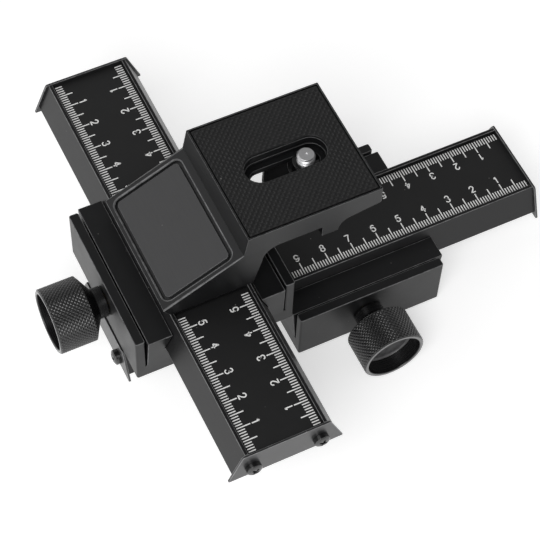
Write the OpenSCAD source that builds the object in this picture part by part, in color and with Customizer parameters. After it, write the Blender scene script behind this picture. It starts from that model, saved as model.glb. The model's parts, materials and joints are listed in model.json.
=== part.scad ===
// Four-way macro focusing rail. Two rack and pinion stages are crossed at a right angle:
// the lower rail slides left and right in the base carriage and carries the upper carriage
// on its left end, and the upper rail slides to and fro in that and carries the camera bracket.
// Millimetres, +Z up, origin in the middle of the base carriage's underside.

/* [Carriage castings] */
// Width of a carriage across its rail
carriage_w = 57.6; // [54:0.2:62]
// Length of the outer strips along the rail
strip_l = 55.8; // [50:0.2:62]
// Thickness of each outer strip
strip_t = 3.4; // [2.6:0.1:4]
// Height of the outer strips
strip_h = 22.8; // [22:0.1:23.2]
// Height of the jaws that hold the rail
jaw_h = 22; // [21:0.1:22.6]
// Width of the slit between a strip and its jaw, at the top
slit_w = 0.7; // [0.5:0.1:1.2]
// Height at which the slit ends
slit_floor = 7.3; // [6.6:0.1:7.6]
// How far the jaws' tops reach past the strips at the near end
nose_near = 1; // [0.4:0.1:1.6]
// How far the jaws' tops reach past the strips at the far end
nose_far = 1.8; // [0.4:0.1:2.4]
// Height of the scale's face over the underside of its carriage
label_z = 24; // [23.8:0.1:24.6]

/* [Rails] */
// Length of a rail with both end plates
rail_l = 161; // [150:0.5:180]
// Width of a rail across its top
rail_top_w = 28.8; // [28:0.2:29.6]
// Width of a rail across its underside
rail_bottom_w = 37.2; // [36.4:0.2:37.6]
// Height of the lips over the scale's face
lip_h = 1.4; // [1:0.1:1.8]
// Width of a lip
lip_w = 1.2; // [0.8:0.1:1.4]
// Depth of the rail below the scale's face
rail_drop = 9.1; // [8.9:0.1:9.3]
// Thickness of a scale
scale_t = 0.5; // [0.3:0.05:0.8]
// Thickness of an end plate
plate_t = 0.8; // [0.6:0.1:1.6]
// Width of an end plate across its top
plate_top_w = 30.6; // [29.6:0.1:31]
// Width of an end plate across its ears
plate_bottom_w = 40.8; // [39.6:0.1:41.4]
// Depth of an end plate below the scale's face
plate_drop = 11.2; // [10.6:0.1:11.6]
// Distance between the two screws of an end plate
plate_screw_gap = 23.8; // [23:0.1:25]
// Depth of the end plate's screws below the scale's face
plate_screw_drop = 6.4; // [6:0.1:7]

/* [Rack and pinion] */
// Gear module
gear_m = 0.8; // [0.78:0.01:0.82]
// Height of the pinion's axis over the underside of its carriage
drive_z = 11.7; // [11.6:0.05:11.75]
// Distance of the pinion's axis from the carriage's middle, along the rail
drive_y = -1.3; // [-2:0.1:2]
// Width of the pinion's teeth
pinion_w = 10; // [8:0.5:12]
// Width of the rack
rack_w = 8; // [7:0.5:9]
// Radius of the pinion's shaft
shaft_r = 2.5; // [2.2:0.1:2.6]

/* [Knobs] */
// Radius of a knob
knob_r = 11.5; // [10:0.1:11.5]
// Distance from the carriage to the knob's outer end
knob_reach = 20.3; // [18:0.1:22]
// Radius of the knob's neck
neck_r = 5.4; // [4.8:0.1:6]
// Length of the knob's neck
neck_l = 3.3; // [3:0.1:4.4]
// Length of the cone between the knob's neck and its grip
cone_l = 3.5; // [1.5:0.1:4]
// Wall round the knob's hollow
knob_wall = 1.6; // [1.2:0.1:2.4]
// Depth of the knob's hollow
cup_depth = 6.3; // [4:0.1:8]

/* [Camera bracket] */
// Length of the bracket along the upper rail
bracket_l = 47.6; // [42:0.2:50]
// Top of the platform over the upper scale's face
platform_z = 27.8; // [27:0.1:29]
// Distance from the rail's middle to the platform's left edge
platform_left = 13.2; // [12.8:0.1:13.6]
// Distance from the rail's middle to the platform's right edge
platform_right = 61.4; // [60:0.1:64]
// Distance from the rail's middle to the cover's low edge
cover_low_x = 16.9; // [16.2:0.1:18]
// Height of the cover's low edge over the upper scale's face
cover_low_z = 5.3; // [4.8:0.1:6]
// Height of the cover's high edge over the upper scale's face
cover_high_z = 19.2; // [18:0.1:20]
// Thickness of the bracket's walls
wall = 3; // [2.4:0.1:3.2]
// Width of the cover panel up the slope
panel_w = 24.8; // [22:0.1:25.4]
// Length of the cover panel along the rail
panel_l = 40.9; // [36:0.1:41.4]
// Width of the groove round the cover panel
panel_gap = 1.1; // [0.6:0.1:1.3]
// Thickness of the platform's pad
pad_t = 1; // [0.8:0.1:1.2]
// Width of the groove round the pad
pad_gap = 0.6; // [0.2:0.1:0.8]
// Width of the rim round the pad
rim_w = 0.5; // [0.4:0.1:1.2]
// Width of the platform's recess for the camera screw
recess_slot_w = 11; // [10.6:0.1:12]
// Width of the slot that the camera screw stands in
screw_slot_w = 6.8; // [6.7:0.1:7]

/* [Camera screw] */
// Radius of the camera screw's thread, a quarter inch across
stud_r = 3.175; // [3.15:0.005:3.2]
// Height of the stud's end over the upper scale's face
stud_top = 26; // [25.6:0.1:27.4]
// Radius of the thumb wheel
wheel_r = 14.2; // [12:0.1:14.2]
// Thickness of the thumb wheel
wheel_t = 5.1; // [4:0.1:6]

/* [Tripod sockets] */
// Radius of the quarter inch socket's thread
small_socket_r = 3.175; // [3.15:0.005:3.2]
// Radius of the three eighths inch socket's thread
large_socket_r = 4.7625; // [4.75:0.0025:4.775]
// Distance of each socket from the middle of the base
socket_x = 14; // [13.5:0.1:16]
// Depth of the sockets
socket_l = 9; // [8:0.1:9.4]

/* [Resting places] */
// Middle of the lower rail from the middle of the base carriage
lower_rail_x = -8; // [-20:0.1:20]
// Middle of the upper rail from the middle of the upper carriage
upper_rail_y = 0; // [-20:0.1:20]
// Sideways offset of the upper stage on the lower rail
upper_stage_y = 0.4; // [0:0.1:1]
// Offset of the bracket along the upper rail
bracket_y = 0.4; // [-2:0.1:2]
// How far the lower rail's left end stands past the upper carriage
rail_past = 0.4; // [-1:0.1:1]
// Camera screw's distance from the upper rail's middle
stud_x = 45.5; // [43:0.1:47]

/* [Fits] */
// Gap between a rail and its carriage
slide_gap = 0.25; // [0.2:0.01:0.3]
// Radial gap of a shaft in its bush
run_gap = 0.05; // [0.03:0.01:0.08]
// Gap round a piece that is fixed in a seat
seat_gap = 0.03; // [0.02:0.01:0.05]
// Play between the teeth of pinion and rack
backlash = 0.16; // [0.12:0.01:0.2]
// Gap between a turning piece and the face beside it
turn_gap = 0.3; // [0.2:0.05:0.4]

/* [Hidden] */
$fn = 64;
// Overrun of every cut past the face that it opens
over = 1;

casting_black = "#26272a";
rail_black = "#202124";
print_black = "#141518";
plate_black = "#2e2f32";
knob_black = "#1b1c1e";
steel = "#8d9094";
brass = "#b08d4a";
nylon = "#d8d4c4";
pad_black = "#2a2a2c";
screw_black = "#232427";

// Rail outline
rail_top = label_z + lip_h;
rail_bottom = label_z - rail_drop;
rail_h = rail_top - rail_bottom;
flank_slope = (rail_bottom_w - rail_top_w) / 2 / rail_h;
body_l = rail_l - 2 * plate_t;
recess_w = rail_top_w - 2 * lip_w;
recess_z = label_z - scale_t;
web = 4;
groove_w = 18.8;
groove_z = recess_z - web;
function rail_half(z) = rail_top_w / 2 + (rail_top - z) * flank_slope;

// Carriage
side_gap = slide_gap * sqrt(1 + flank_slope * flank_slope);
jaw_outer = carriage_w / 2 - strip_t - slit_w;
middle_l = strip_l + nose_near + nose_far;
middle_y = (nose_far - nose_near) / 2;
ledge_z = rail_bottom - slide_gap;
relief_w = 21;
relief_z = 12;
slit_low_w = 0.35;
strip_round = 0.7;
foot_h = 1.4;
foot_w = 46;
foot_l = 46;
function channel_half(z) = rail_half(z) + side_gap;

// Gears
teeth = 10;
pitch_r = teeth * gear_m / 2;
pressure = 25;
gear_pitch = 2 * PI * pitch_r / teeth;
tooth_head = 0.875 * gear_m;
tooth_foot = 1.15 * gear_m;
base_r = pitch_r * cos(pressure);
pitch_z = drive_z + pitch_r;
rack_short = 3.5;
rack_l = body_l - 2 * rack_short;
pinion_pocket_r = pitch_r + tooth_head + 2 * turn_gap;
pinion_pocket_w = pinion_w + 4 * turn_gap;

// Bushes, shaft and clip
bush_r = 3.9;
bush_in = channel_half(drive_z) + 0.5 * bush_r * flank_slope;
bush_out = carriage_w / 2;
shaft_past = 1.8;
clip_t = 0.7;
clip_r = 4.4;
clip_groove_r = 1.9;
clip_gap_w = 3;

// Knob
knob_l = knob_reach - turn_gap;
cup_floor = knob_l - cup_depth;
cup_skin = 4.5;
cup_round = 1.5;
knob_edge = 0.4;
grub_r = 1;
grub_socket_r = 0.5;
grub_place = neck_l / 2;

// Gib and drag screws
gib_t = 1.5;
gib_l = 50;
gib_lift = 1.9;
gib_down = 1.6;
gib_low = ledge_z + gib_lift;
gib_high = jaw_h - gib_down;
gib_gap = 0.1;
drag_r = 1.5;
drag_y = 16;
drag_z = (gib_low + gib_high) / 2;
drag_sunk = 0.5;
hex_r = 0.9;
hex_depth = 1.6;

// End plates
plate_round = 1;
plate_ear_round = 0.3;

// Small screws
head_r = 2.7;
head_h = 2.3;
cross_w = 0.75;
cross_l = 3;
cross_depth = 1;
cross_turn = 45;
cross_turn_change = 20;
plate_screw_r = 1.5;
plate_screw_l = 8;
rack_screw_r = 1.25;
rack_screw_head_r = 2.3;
rack_screw_sunk = 1.3;
rack_screw_bite = 2;
rack_screw_y = 52;
carriage_screw_r = 1.5;
carriage_screw_x = 9;
carriage_screw_y = 11.2;
carriage_screw_bite = 7;
cap_r = 2.6;
cap_h = 2.4;
bracket_screw_r = 1.25;
bracket_screw_x = 11.6;
bracket_screw_y = 18;
bracket_cap_r = 2.1;
bracket_cap_h = 2;
bracket_screw_sunk = 2.4;
bracket_screw_bite = 6;
boss_r = 3.4;

// Bracket, with heights counted from the upper scale's face
foot_left = 14.2;
foot_right = 15.4;
riser_lean = 1.4;
riser_x = platform_left - riser_lean;
leg_wall = 2.6;
rib_under = 18.5;
arch_r = 6.2;
leg_x = 18.4;
lug_left = 40;
lug_right = 45.9;
lug_z = 13.5;
swoop_r = 5;
rib_right_z = 20.3;
ledge_in_slot = 22;
liner_z = 24;
liner_step = 0.3;
slot_under = 19.6;
plate_under = 23.4;
slot_boss_w = 17;
slot_left = 28.9;
slot_right = 47.1;
plan_round = 1;
cover_angle = atan2(cover_high_z - cover_low_z, cover_low_x + riser_x);
cover_slope_l = norm([cover_high_z - cover_low_z, cover_low_x + riser_x]);
panel_sunk = 1.2;
panel_low = 0.2;
panel_t = panel_sunk - panel_low;
panel_place = 3.1;
panel_round = 1.5;
pad_slot_gap = 0.1;

// Camera screw, with heights counted from the upper scale's face
hub_r = 5.1;
hub_top = 13.5;
wheel_top = 12.8;
wheel_edge = 0.6;
stud_edge = 0.6;
shank_cut_r = 2.6;
screw_clip_r = 4.5;
screw_clip_t = 0.5;
washer_r = 6;
washer_t = 0.8;

// Tripod sockets
insert_wall = 1.4;
insert_flange = 1;
insert_flange_t = 1;

// Stages: where each carriage and rail stands
upper_z = rail_top;
upper_x = lower_rail_x - rail_l / 2 + carriage_w / 2 + rail_past;
lower_scale_left = upper_x + carriage_w / 2 - lower_rail_x + seat_gap;

function arc(cx, cy, r, a0, a1, steps) =
  [for (i = [0:steps]) let (a = a0 + (a1 - a0) * i / steps) [cx + r * cos(a), cy + r * sin(a)]];

// Outline in x and z, drawn out along the rail and centred on it
module along_rail(l) {
  rotate([90, 0, 0]) translate([0, 0, -l / 2]) linear_extrude(l) children();
}

// Round bar across the rail, from x0 to x1
module across(r, x0, x1) {
  translate([x0, 0, 0]) rotate([0, 90, 0]) cylinder(r = r, h = x1 - x0);
}

// Box with round upright edges that stands on z = 0
module slab(w, l, h, r) {
  translate([-w / 2 + r, -l / 2, 0]) cube([w - 2 * r, l, h]);
  translate([-w / 2, -l / 2 + r, 0]) cube([w, l - 2 * r, h]);
  for (x = [-1, 1], y = [-1, 1])
    translate([x * (w / 2 - r), y * (l / 2 - r), 0]) cylinder(r = r, h = h);
}

// Long hole along x, from x0 to x1 between the middles of its round ends
module long_hole(x0, x1, w, h) {
  translate([x0, -w / 2, 0]) cube([x1 - x0, w, h]);
  for (x = [x0, x1]) translate([x, 0, 0]) cylinder(r = w / 2, h = h);
}

module lower_stage() rotate([0, 0, -90]) children();

module upper_stage() translate([upper_x, upper_stage_y, upper_z]) children();

module lower_moving() lower_stage() translate([0, lower_rail_x, 0]) children();

module upper_moving() upper_stage() translate([0, upper_rail_y, 0]) children();

// Carriage casting without its mounting holes. The rail runs along y.
module carriage(knob_side) {
  difference() {
    union() {
      jaws();
      translate([-carriage_w / 2 + strip_t / 2, -strip_l / 2, foot_h])
        cube([carriage_w - strip_t, strip_l, slit_floor - foot_h]);
      for (side = [-1, 1])
        translate([side * (carriage_w - strip_t) / 2, 0, foot_h])
          slab(strip_t, strip_l, strip_h - foot_h, strip_round);
      translate([-foot_w / 2, -foot_l / 2, 0]) cube([foot_w, foot_l, slit_floor]);
    }
    translate([0, middle_y, 0]) along_rail(middle_l + 2 * over) channel_outline();
    translate([0, drive_y, drive_z]) drive_cuts(knob_side);
    gib_pocket(-knob_side);
    for (y = [-drag_y, drag_y])
      translate([0, y, drag_z])
        across(drag_r + seat_gap,
          -knob_side > 0 ? 0 : -carriage_w / 2 - over,
          -knob_side > 0 ? carriage_w / 2 + over : 0);
  }
}

// Middle of the casting, narrower and longer towards the top, so the slits are wedges
module jaws() {
  low = jaw_outer + slit_w - slit_low_w;
  half_l = strip_l / 2;
  intersection() {
    translate([0, middle_y, 0]) along_rail(middle_l) polygon([
      [-low, foot_h], [-low, slit_floor], [-jaw_outer, jaw_h],
      [jaw_outer, jaw_h], [low, slit_floor], [low, foot_h]
    ]);
    translate([-low - over, 0, 0]) rotate([90, 0, 90]) linear_extrude(2 * (low + over)) polygon([
      [-half_l, foot_h], [-half_l, slit_floor], [-half_l - nose_near, jaw_h],
      [half_l + nose_far, jaw_h], [half_l, slit_floor], [half_l, foot_h]
    ]);
  }
}

module channel_outline() {
  top = jaw_h + over;
  polygon([
    [-channel_half(ledge_z), ledge_z], [-relief_w / 2, ledge_z], [-relief_w / 2, relief_z],
    [relief_w / 2, relief_z], [relief_w / 2, ledge_z], [channel_half(ledge_z), ledge_z],
    [channel_half(top), top], [-channel_half(top), top]
  ]);
}

// Cuts for pinion, shaft and bushes, with the axis on x
module drive_cuts(knob_side) {
  across(shaft_r + turn_gap, -carriage_w / 2 - over, carriage_w / 2 + over);
  across(pinion_pocket_r, -pinion_pocket_w / 2, pinion_pocket_w / 2);
  for (side = [-1, 1])
    across(bush_r + seat_gap,
      side > 0 ? bush_in : -bush_out - over,
      side > 0 ? bush_out + over : -bush_in);
  trough_x = channel_half(ledge_z) - side_gap;
  translate([-trough_x, -shaft_r - turn_gap, 0])
    cube([2 * trough_x, 2 * (shaft_r + turn_gap), ledge_z - drive_z + over]);
}

// Slanted strip beside the rail's flank on one side, from z0 to z1, gap past the flank
module flank_strip(side, z0, z1, gap, thick, l) {
  along_rail(l)
    polygon([
      [side * (rail_half(z0) + gap), z0], [side * (rail_half(z1) + gap), z1],
      [side * (rail_half(z1) + gap + thick), z1], [side * (rail_half(z0) + gap + thick), z0]
    ]);
}

module gib_pocket(side) {
  flank_strip(side, gib_low - seat_gap, gib_high + seat_gap, 0,
    gib_gap + gib_t + seat_gap, gib_l + 2 * seat_gap);
}

module gib(side) {
  color(nylon) flank_strip(side, gib_low, gib_high, gib_gap, gib_t, gib_l);
}

// Set screws that press the gib, with the hex socket outside
module drag_screws(side) {
  inner = rail_half(gib_low) + gib_gap + gib_t + seat_gap;
  outer = carriage_w / 2 - drag_sunk;
  color(steel)
    for (y = [-drag_y, drag_y])
      translate([0, y, drag_z]) mirror([side > 0 ? 0 : 1, 0, 0])
        difference() {
          across(drag_r, inner, outer);
          translate([outer - hex_depth, 0, 0]) rotate([0, 90, 0])
            cylinder(r = hex_r, h = hex_depth + over, $fn = 6);
        }
}

// Bushes that are pushed in from the carriage's sides, across the slits
module bushes() {
  color(brass)
    for (side = [-1, 1])
      translate([0, drive_y, drive_z]) mirror([side > 0 ? 0 : 1, 0, 0])
        difference() {
          across(bush_r, bush_in, bush_out);
          across(shaft_r + run_gap, bush_in - over, bush_out + over);
        }
}

// Angle from a pinion tooth's middle to its flank at radius r, in degrees
function involute(a) = tan(a) * 180 / PI - a;
function tooth_angle(r) =
  (gear_pitch - backlash) / 4 / pitch_r * 180 / PI + involute(pressure)
  - involute(acos(base_r / max(r, base_r)));

function pinion_points(steps) =
  let (root = pitch_r - tooth_foot, tip = pitch_r + tooth_head)
  [for (i = [0:teeth - 1])
    let (mid = 90 + 360 * i / teeth)
    for (j = [0:2 * steps + 3])
      let (
        k = j <= steps + 1 ? j : 2 * steps + 3 - j,
        side = j <= steps + 1 ? 1 : -1,
        r = k == 0 ? root : base_r + (tip - base_r) * (k - 1) / steps,
        a = mid - side * tooth_angle(r)
      )
      [r * cos(a), r * sin(a)]];

// Shaft with the pinion in its middle, one clip groove and the end that the knob is fixed to
module pinion(knob_side) {
  far = carriage_w / 2 + shaft_past;
  knob_end = carriage_w / 2 + turn_gap + cup_floor - cup_skin - 2 * seat_gap;
  groove_x = carriage_w / 2 + turn_gap;
  color(brass)
    translate([0, drive_y, drive_z]) mirror([knob_side > 0 ? 0 : 1, 0, 0])
      difference() {
        union() {
          across(shaft_r, -far, knob_end);
          translate([-pinion_w / 2, 0, 0]) rotate([90, 0, 90])
            linear_extrude(pinion_w) polygon(pinion_points(4));
        }
        difference() {
          across(shaft_r + over, -groove_x - clip_t - seat_gap, -groove_x + seat_gap);
          across(clip_groove_r, -groove_x - clip_t - over, -groove_x + over);
        }
      }
}

module shaft_clip(knob_side) {
  groove_x = carriage_w / 2 + turn_gap;
  color(steel)
    translate([0, drive_y, drive_z]) mirror([knob_side > 0 ? 0 : 1, 0, 0])
      difference() {
        across(clip_r, -groove_x - clip_t, -groove_x);
        across(clip_groove_r + seat_gap, -groove_x - clip_t - over, -groove_x + over);
        translate([-groove_x - clip_t - over, -clip_gap_w / 2, -clip_r - over])
          cube([clip_t + 2 * over, clip_gap_w, clip_r + over]);
      }
}

// Hollow knob, turned about the drive axis, with its neck against the carriage
module knob(knob_side) {
  bore = shaft_r + seat_gap;
  bore_end = cup_floor - cup_skin;
  cup_r = knob_r - knob_wall;
  color(knob_black)
    translate([0, drive_y, drive_z]) mirror([knob_side > 0 ? 0 : 1, 0, 0])
      translate([carriage_w / 2 + turn_gap, 0, 0]) difference() {
        rotate([0, 90, 0]) rotate_extrude($fn = 96) polygon(concat(
          [[bore, 0], [neck_r, 0], [neck_r, neck_l], [knob_r, neck_l + cone_l],
            [knob_r, knob_l - knob_edge], [knob_r - knob_edge, knob_l], [cup_r, knob_l]],
          arc(cup_r - cup_round, cup_floor + cup_round, cup_round, 0, -90, 4),
          [[0, cup_floor], [0, bore_end], [bore, bore_end]]
        ));
        translate([grub_place, 0, -neck_r - over])
          cylinder(r = grub_r + seat_gap, h = neck_r + over - shaft_r / 2);
      }
}

module knob_grub(knob_side) {
  l = neck_r - shaft_r - 2 * seat_gap;
  color(steel)
    translate([0, drive_y, drive_z]) mirror([knob_side > 0 ? 0 : 1, 0, 0])
      translate([carriage_w / 2 + turn_gap + grub_place, 0, -neck_r + seat_gap]) difference() {
        cylinder(r = grub_r, h = l);
        translate([0, 0, -over]) cylinder(r = grub_socket_r, h = over + l / 2, $fn = 6);
      }
}

// Extruded rail body with its holes. Plus signs run towards the rail's far end.
module rail_body(screw_places) {
  difference() {
    along_rail(body_l) polygon([
      [rail_bottom_w / 2, rail_bottom], [rail_top_w / 2, rail_top], [recess_w / 2, rail_top],
      [recess_w / 2, recess_z], [-recess_w / 2, recess_z], [-recess_w / 2, rail_top],
      [-rail_top_w / 2, rail_top], [-rail_bottom_w / 2, rail_bottom],
      [-groove_w / 2, rail_bottom], [-groove_w / 2, groove_z],
      [groove_w / 2, groove_z], [groove_w / 2, rail_bottom]
    ]);
    for (end = [-1, 1], x = [-1, 1])
      translate([x * plate_screw_gap / 2, end * body_l / 2, label_z - plate_screw_drop])
        rotate([end * 90, 0, 0])
          translate([0, 0, -over])
            cylinder(r = plate_screw_r + seat_gap, h = plate_screw_l + seat_gap + over);
    for (y = [-rack_screw_y, 0, rack_screw_y]) translate([0, y, 0]) {
      translate([0, 0, groove_z - over]) cylinder(r = rack_screw_r + seat_gap, h = web + 2 * over);
      translate([0, 0, recess_z - rack_screw_sunk])
        cylinder(r1 = rack_screw_r + seat_gap, r2 = rack_screw_head_r + seat_gap,
          h = rack_screw_sunk + seat_gap / 2);
    }
    for (p = screw_places) translate([p[0], p[1], 0]) children();
  }
}

// Rack bar with straight-sided teeth that point down, one gap over the pinion's axis at y0
module rack(y0) {
  lean = tan(pressure);
  half = gear_pitch / 4;
  head = half - lean * tooth_head;
  foot = half + lean * tooth_foot;
  first = ceil((-rack_l / 2 + foot - y0) / gear_pitch - 0.5);
  last = floor((rack_l / 2 - foot - y0) / gear_pitch - 0.5);
  color(steel) difference() {
    translate([-rack_w / 2, 0, 0]) rotate([90, 0, 90]) linear_extrude(rack_w) polygon(concat(
      [[rack_l / 2, groove_z - seat_gap], [-rack_l / 2, groove_z - seat_gap],
        [-rack_l / 2, pitch_z + tooth_foot]],
      [for (k = [first:last])
        let (c = y0 + (k + 0.5) * gear_pitch)
        each [
          [c - foot, pitch_z + tooth_foot], [c - head, pitch_z - tooth_head],
          [c + head, pitch_z - tooth_head], [c + foot, pitch_z + tooth_foot]
        ]],
      [[rack_l / 2, pitch_z + tooth_foot]]
    ));
    for (y = [-rack_screw_y, 0, rack_screw_y])
      translate([0, y, groove_z - rack_screw_bite])
        cylinder(r = rack_screw_r + seat_gap, h = rack_screw_bite + over);
  }
}

// Countersunk screws that hold the rack under the rail, heads hidden below the scale
module rack_screws() {
  color(steel)
    for (y = [-rack_screw_y, 0, rack_screw_y]) translate([0, y, 0]) {
      bottom = groove_z - rack_screw_bite + seat_gap;
      translate([0, 0, bottom]) cylinder(r = rack_screw_r, h = recess_z - rack_screw_sunk - bottom);
      translate([0, 0, recess_z - rack_screw_sunk])
        cylinder(r1 = rack_screw_r, r2 = rack_screw_head_r, h = rack_screw_sunk - seat_gap);
    }
}

module scale_strip(y0, y1) {
  color(print_black)
    translate([-recess_w / 2 + seat_gap, y0, recess_z])
      cube([recess_w - 2 * seat_gap, y1 - y0, scale_t]);
}

// Sheet end plate of the rail's far end, with round ears and two clearance holes
module end_plate() {
  lean = atan2((plate_bottom_w - plate_top_w) / 2, plate_drop + lip_h);
  low = label_z - plate_drop;
  top_x = plate_top_w / 2 - plate_round * tan(45 - lean / 2);
  ear_x = plate_bottom_w / 2 - plate_ear_round / tan(45 - lean / 2);
  right = concat(
    arc(ear_x, low + plate_ear_round, plate_ear_round, -90, lean, 6),
    arc(top_x, rail_top - plate_round, plate_round, lean, 90, 6));
  left = [for (i = [len(right) - 1:-1:0]) [-right[i][0], right[i][1]]];
  color(plate_black) translate([0, body_l / 2, 0]) difference() {
    translate([0, plate_t / 2, 0]) along_rail(plate_t) polygon(concat(right, left));
    for (x = [-1, 1])
      translate([x * plate_screw_gap / 2, -over, label_z - plate_screw_drop]) rotate([-90, 0, 0])
        cylinder(r = plate_screw_r + seat_gap, h = plate_t + 2 * over);
  }
}

// Pan head screw with a cross recess. The head sits on z = 0 and the shank points down.
module pan_screw(l) {
  dome = 3 * head_h;
  difference() {
    union() {
      translate([0, 0, -l]) cylinder(r = plate_screw_r, h = l);
      intersection() {
        cylinder(r = head_r, h = head_h);
        translate([0, 0, head_h - dome]) sphere(r = dome);
      }
    }
    for (a = [0, 90]) rotate([0, 0, a])
      translate([-cross_l / 2, -cross_w / 2, head_h - cross_depth])
        cube([cross_l, cross_w, cross_depth + over]);
  }
}

module end_screws() {
  color(screw_black)
    for (end = [-1, 1], x = [-1, 1])
      translate([x * plate_screw_gap / 2, end * rail_l / 2, label_z - plate_screw_drop])
        rotate([-end * 90, 0, 0]) rotate([0, 0, cross_turn + cross_turn_change * x])
          pan_screw(plate_t + plate_screw_l - 2 * seat_gap);
}

// Socket head screw. The head sits on z = 0, the shank points down.
module cap_screw(r, l, cap, h) {
  difference() {
    union() {
      translate([0, 0, -l]) cylinder(r = r, h = l);
      cylinder(r = cap, h = h);
    }
    translate([0, 0, h / 2]) cylinder(r = cap / 2, h = h, $fn = 6);
  }
}

// Places of the screws that hold the upper carriage, in the upper carriage's own frame
carriage_screw_places = [for (x = [-1, 1], y = [-1, 1])
  [x * carriage_screw_x, y * carriage_screw_y]];
carriage_seat_z = relief_z - cap_h - turn_gap;

module base_carriage() {
  color(casting_black) lower_stage() difference() {
    carriage(1);
    for (s = [[-1, small_socket_r], [1, large_socket_r]])
      translate([0, s[0] * socket_x, 0]) {
        translate([0, 0, -over])
          cylinder(r = s[1] + insert_wall + seat_gap, h = socket_l + seat_gap + over);
        translate([0, 0, -over])
          cylinder(r = s[1] + insert_wall + insert_flange + seat_gap,
            h = insert_flange_t + seat_gap + over);
      }
  }
}

// Steel thread insert that is pushed in from below, flush with the underside
module tripod_insert(x, r) {
  color(steel) translate([x, 0, 0]) difference() {
    union() {
      cylinder(r = r + insert_wall, h = socket_l);
      cylinder(r = r + insert_wall + insert_flange, h = insert_flange_t);
    }
    translate([0, 0, -over]) cylinder(r = r, h = socket_l + 2 * over);
  }
}
module tripod_insert_small() { tripod_insert(-socket_x, small_socket_r); }
module tripod_insert_large() { tripod_insert(socket_x, large_socket_r); }

module lower_bushes() { lower_stage() bushes(); }
module lower_gib() { lower_stage() gib(-1); }
module lower_drag_screws() { lower_stage() drag_screws(-1); }
module lower_pinion() { lower_stage() pinion(1); }
module lower_knob() { lower_stage() knob(1); }
module lower_knob_grub() { lower_stage() knob_grub(1); }
module lower_shaft_clip() { lower_stage() shaft_clip(1); }

module lower_rail() {
  places = [for (p = carriage_screw_places)
    [-(p[1] + upper_stage_y), p[0] + upper_x - lower_rail_x]];
  color(rail_black) lower_moving() rail_body(places)
    translate([0, 0, rail_top - carriage_screw_bite - seat_gap])
      cylinder(r = carriage_screw_r + seat_gap, h = carriage_screw_bite + seat_gap + over);
}
module lower_scale() { lower_moving() scale_strip(lower_scale_left, body_l / 2 - seat_gap); }
module lower_rack() { lower_moving() rack(drive_y - lower_rail_x); }
module lower_rack_screws() { lower_moving() rack_screws(); }
module lower_end_plate_left() { lower_moving() mirror([0, 1, 0]) end_plate(); }
module lower_end_plate_right() { lower_moving() end_plate(); }
module lower_end_screws() { lower_moving() end_screws(); }

module upper_carriage() {
  color(casting_black) upper_stage() difference() {
    carriage(-1);
    for (p = carriage_screw_places) translate([p[0], p[1], 0]) {
      translate([0, 0, -over]) cylinder(r = carriage_screw_r + seat_gap, h = relief_z + over);
      translate([0, 0, carriage_seat_z]) cylinder(r = cap_r + seat_gap, h = relief_z);
    }
  }
}
module carriage_screws() {
  color(screw_black) upper_stage()
    for (p = carriage_screw_places) translate([p[0], p[1], carriage_seat_z])
      cap_screw(carriage_screw_r, carriage_seat_z + carriage_screw_bite, cap_r, cap_h);
}

module upper_bushes() { upper_stage() bushes(); }
module upper_gib() { upper_stage() gib(1); }
module upper_drag_screws() { upper_stage() drag_screws(1); }
module upper_pinion() { upper_stage() pinion(-1); }
module upper_knob() { upper_stage() knob(-1); }
module upper_knob_grub() { upper_stage() knob_grub(-1); }
module upper_shaft_clip() { upper_stage() shaft_clip(-1); }

// Places of the screws that hold the bracket, in the bracket's own frame
bracket_screw_places = [for (x = [-1, 1], y = [-1, 1])
  [x * bracket_screw_x, y * bracket_screw_y]];
bracket_screw_places_in_rail = [for (p = bracket_screw_places) [p[0], p[1] + bracket_y]];

module upper_rail() {
  color(rail_black) upper_moving() rail_body(bracket_screw_places_in_rail) union() {
    translate([0, 0, rail_bottom - over])
      cylinder(r = bracket_screw_r + seat_gap, h = rail_h + 2 * over);
    translate([0, 0, rail_bottom - over])
      cylinder(r = bracket_cap_r + seat_gap, h = bracket_screw_sunk + over);
  }
}
module upper_scale_near() {
  upper_moving() scale_strip(-body_l / 2 + seat_gap, bracket_y - bracket_l / 2 - seat_gap);
}
module upper_scale_far() {
  upper_moving() scale_strip(bracket_y + bracket_l / 2 + seat_gap, body_l / 2 - seat_gap);
}
module upper_rack() { upper_moving() rack(drive_y - upper_rail_y); }
module upper_rack_screws() { upper_moving() rack_screws(); }
module upper_end_plate_near() { upper_moving() mirror([0, 1, 0]) end_plate(); }
module upper_end_plate_far() { upper_moving() end_plate(); }
module upper_end_screws() { upper_moving() end_screws(); }

// Outer skin of the bracket from its foot over the cover and the platform to the right edge
function skin_points() = [
  [platform_right + 0.5 * plan_round, rib_right_z], [platform_right, platform_z],
  [platform_left, platform_z], [riser_x, cover_high_z],
  [-cover_low_x, cover_low_z], [-foot_left, lip_h], [foot_right, lip_h]
];

// Lower edge of the front and back walls: leg, arch, lug and the swoop to the right edge
function arch_points() = concat(
  arc(leg_x + arch_r, rib_under - arch_r, arch_r, 180, 90, 8),
  [[lug_left, rib_under], [lug_left, lug_z], [lug_right, lug_z]],
  arc(lug_right + swoop_r, lug_z, swoop_r, 180, 100, 6)
);

module bracket_block() {
  intersection() {
    along_rail(bracket_l) polygon(concat(skin_points(), arch_points()));
    translate([(platform_right - cover_low_x) / 2, 0, 0])
      slab(platform_right + cover_low_x + plan_round, bracket_l, platform_z + over, plan_round);
  }
}

// Hollow under the sloped cover, open to the rail
module cover_hollow() {
  lift = wall / cos(cover_angle);
  left = -foot_left + wall;
  right = foot_right - leg_wall;
  slope = tan(cover_angle);
  along_rail(bracket_l - 2 * wall) polygon([
    [left, lip_h - over], [right - leg_wall / 2, lip_h - over],
    [right - leg_wall / 2, cover_low_z + (cover_low_x + riser_x) * slope - lift],
    [left, cover_low_z + (cover_low_x + left) * slope - lift]
  ]);
}

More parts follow.
